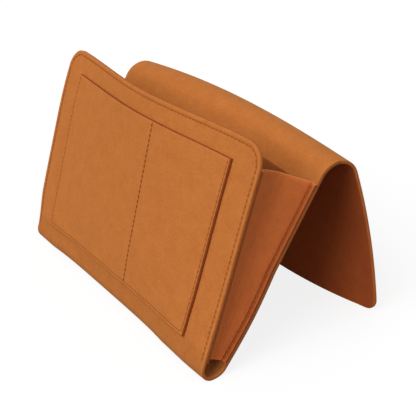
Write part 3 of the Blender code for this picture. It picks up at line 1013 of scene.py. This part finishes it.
def make_gusset(side_name, side):
    """A gusset in one mesh, with both of its flanges."""
    shares = [*FRONT_FLANGE_SHARES, *steps(0, 1, 1 / GUSSET_COLUMNS), *REAR_FLANGE_SHARES]
    rows = [(height, 1.0) for height in steps(GUSSET_BOTTOM, GUSSET_TOP, GRID)]

    def surface(share, height):
        return gusset_point(side, share, height)

    # The creases and flanges press a groove, which puts painted shade along them
    def crease_distance(share, height):
        from_crease = min(abs(share), abs(share - 1)) * GUSSET_SPREAD
        return from_crease if 0 <= share <= 1 else min(from_crease, FLANGE_PRESS)

    piece = thick_sheet(f"{side_name}_gusset_felt", rows, shares, surface, GUSSET_FELT,
                        (LIT_GUSSET, SHADED_POCKET_EDGE, HIGHLIT_GUSSET_END), seam=crease_distance, shade=flange_shade)
    places = piece.data.attributes["felt_place"].data
    for place in places:
        u, v, w = place.vector
        place.vector = ((u - 0.5) * GUSSET_PATTERN_WIDTH + side * 0.5, v, w)
    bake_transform(piece)
    names = [f"{side_name}_gusset_{p}{f}" for p in ("front", "rear") for f in ("_flange", "")]
    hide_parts(*names)
    return piece


def make_stitches():
    """Both threads of every seam: sunk is the lift of a groove's floor, and face that of a bare face."""
    face = FELT / 2
    sunk = face - GROOVE
    low = POCKET_BOTTOM + POCKET_SEAM_INSET
    bold = BOLD_STITCH_RADIUS
    hem = round_path(HEM_X, GUSSET_BOTTOM, FRONT_HEIGHT - HEM_INSET, FRONT_CORNER - HEM_INSET)
    stitch_row("hem_thread", lay(hem, front_point, sunk), THREAD, "front", bold)
    stitch_row("hem_bobbin_thread", lay(hem, front_point, -face), THREAD, "front")
    edge = round_path(POCKET_SEAM_X, OUTER_POCKET_TOP - SEAM_END, low, POCKET_SEAM_ROUND)
    stitch_row("pocket_thread", lay(edge, outer_pocket_point, sunk), POCKET_THREAD, "front")
    stitch_row("pocket_bobbin_thread", lay(edge, front_point, -face), POCKET_THREAD, "front")
    divider = fine([(DIVIDER_X, low), (DIVIDER_X, OUTER_POCKET_TOP - SEAM_END)])
    stitch_row("divider_thread", lay(divider, outer_pocket_point, sunk), SHADED_DIVIDER_THREAD, "front", bold)
    stitch_row("divider_bobbin_thread", lay(divider, front_point, -face), SHADED_DIVIDER_THREAD, "front")
    on_flange = face + GAP + GUSSET_FELT
    for side_name, side in (("left", -1), ("right", 1)):
        x = side * (HALF_WIDTH - REAR_SEAM_INSET)
        line = fine([(x, GUSSET_BOTTOM + SEAM_END), (x, GUSSET_TOP - SEAM_END)])
        stitch_row(f"{side_name}_seam_thread", lay(line, back_point, on_flange), THREAD, "back")
        stitch_row(f"{side_name}_seam_bobbin_thread", lay(line, back_point, -sunk), THREAD, "back")
    edge = round_path(POCKET_SEAM_X, INNER_POCKET_TOP - SEAM_END, low, POCKET_SEAM_ROUND)
    stitch_row("inner_pocket_thread", lay(edge, inner_pocket_point, sunk), THREAD, "back")
    stitch_row("inner_pocket_bobbin_thread", lay(edge, back_point, -face), THREAD, "back")


def make_camera():
    data = bpy.data.cameras.new("camera")
    data.lens = CAMERA_LENS
    data.sensor_width = CAMERA_SENSOR
    camera = bpy.data.objects.new("camera", data)
    turn = Matrix.Rotation(CAMERA_TURN, 4, "Z") @ Matrix.Rotation(CAMERA_TILT, 4, "X")
    turn = turn @ Matrix.Rotation(CAMERA_ROLL, 4, "Z")
    camera.matrix_world = Matrix.Translation(CAMERA_PLACE) @ turn
    bpy.context.scene.collection.objects.link(camera)
    bpy.context.scene.camera = camera


def seen_directly(tree, otherwise, directly):
    """One value for rays that show a thing in the picture, and another for the light that it gives."""
    path = node(tree, "ShaderNodeLightPath")
    seen = node(tree, "ShaderNodeMath", operation="MAXIMUM")
    either = node(tree, "ShaderNodeMath", operation="MAXIMUM")
    tree.links.new(path.outputs["Is Camera Ray"], seen.inputs[0])
    tree.links.new(path.outputs["Is Glossy Ray"], seen.inputs[1])
    tree.links.new(seen.outputs[0], either.inputs[0])
    tree.links.new(path.outputs["Is Transmission Ray"], either.inputs[1])
    value = node(tree, "ShaderNodeMapRange")
    value.inputs["To Min"].default_value = otherwise
    value.inputs["To Max"].default_value = directly
    tree.links.new(either.outputs[0], value.inputs["Value"])
    return value.outputs["Result"]


def make_floor():
    bpy.ops.mesh.primitive_plane_add(size=FLOOR_SIZE)
    floor = bpy.context.object
    floor.name = "floor"
    material = bpy.data.materials.new("floor")
    material.use_nodes = True
    tree = material.node_tree
    shader = tree.nodes["Principled BSDF"]
    shader.inputs["Base Color"].default_value = FLOOR_COLOUR
    shader.inputs["Roughness"].default_value = FLOOR_ROUGHNESS
    shader.inputs["Specular IOR Level"].default_value = FLOOR_SPECULAR
    shader.inputs["Emission Color"].default_value = WHITE
    tree.links.new(seen_directly(tree, 0.0, FLOOR_GLOW), shader.inputs["Emission Strength"])
    floor.data.materials.append(material)


def make_light(name, towards, strength, spread):
    """Broad soft light that comes from far off in one direction."""
    data = bpy.data.lights.new(name, "SUN")
    data.energy = strength
    data.angle = spread
    lamp = bpy.data.objects.new(name, data)
    lamp.matrix_world = Vector(towards).to_track_quat("Z", "Y").to_matrix().to_4x4()
    bpy.context.scene.collection.objects.link(lamp)


def make_world():
    world = bpy.data.worlds.new("studio")
    bpy.context.scene.world = world
    world.use_nodes = True
    tree = world.node_tree
    background = tree.nodes["Background"]
    tree.links.new(seen_directly(tree, WORLD_LIGHT, 1.0), background.inputs["Strength"])
    background.inputs["Color"].default_value = WHITE


make_strip_pieces()
outer_lines = (-POCKET_SEAM_X, DIVIDER_X, POCKET_SEAM_X)
make_pocket("outer_pocket", OUTER_POCKET_TOP, outer_pocket_point, "front", outer_lines, outer_pocket_seam)
inner_lines = (-POCKET_SEAM_X, POCKET_SEAM_X)
make_pocket("inner_pocket", INNER_POCKET_TOP, inner_pocket_point, "back", inner_lines, pocket_seam)
make_gusset("left", -1)
make_gusset("right", 1)
make_stitches()
make_camera()
make_floor()
make_world()
make_light("key", KEY_WAY, KEY_LIGHT, KEY_SPREAD)
make_light("fill", FILL_WAY, FILL_LIGHT, FILL_SPREAD)
bpy.context.scene.view_settings.view_transform = "Standard"
